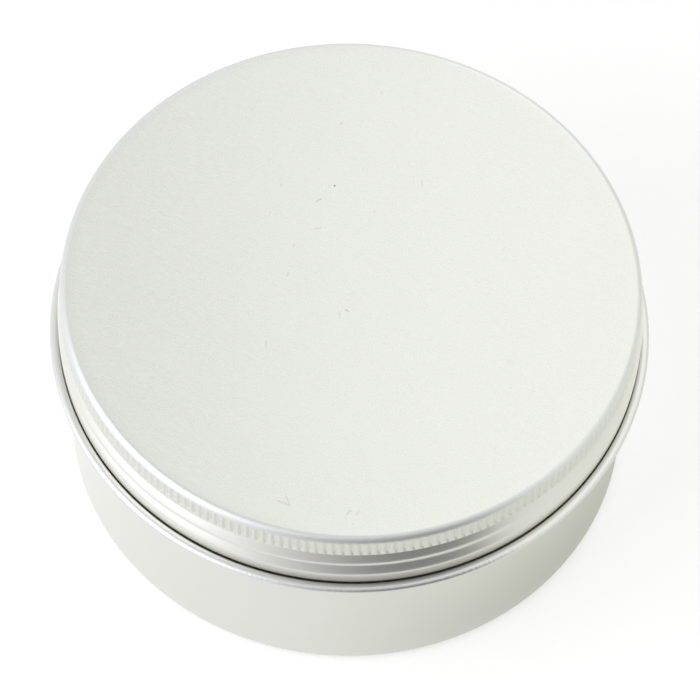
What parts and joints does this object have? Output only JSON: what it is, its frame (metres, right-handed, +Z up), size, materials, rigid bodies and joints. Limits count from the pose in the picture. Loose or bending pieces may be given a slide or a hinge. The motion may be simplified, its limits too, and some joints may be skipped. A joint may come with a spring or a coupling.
{
  "type": "screw-lid aluminium tin",
  "caption": "Low round aluminium tin with a flat knurled screw lid, a rolled thread, a rolled rim round its shoulder and a foam liner inside the lid.",
  "frame": {"origin": "centre of the foot ring that the tin stands on", "axes": "+Z up along the axis of the tin and of the lid's screw"},
  "size_m": [0.0854, 0.0854, 0.0373],
  "materials": {
    "base_aluminium": "plain drawn aluminium, satin, with radial grain on the rolled rim",
    "lid_aluminium": "satin aluminium with a fine straight rolling grain on the flat top",
    "liner_foam": "white closed-cell foam, matt"
  },
  "bodies": {
    "base": {"tin_base": "base_aluminium"},
    "liner": {"lid_liner": "liner_foam"},
    "lid": {"lid_shell": "lid_aluminium"}
  },
  "joints": [
    {"name": "lid_lift", "type": "slide", "parent": "base", "child": "liner", "axis": [0, 0, 1], "range_m": [0, 0.0104]},
    {"name": "lid_turn", "type": "hinge", "parent": "liner", "child": "lid", "pos_m": [0, 0, 0.03733], "axis": [0, 0, 1], "range_deg": [0, 1170]}
  ],
  "couplings": [
    {"joint": "lid_lift", "follows": "lid_turn", "m_per_rad": 0.0005093}
  ]
}
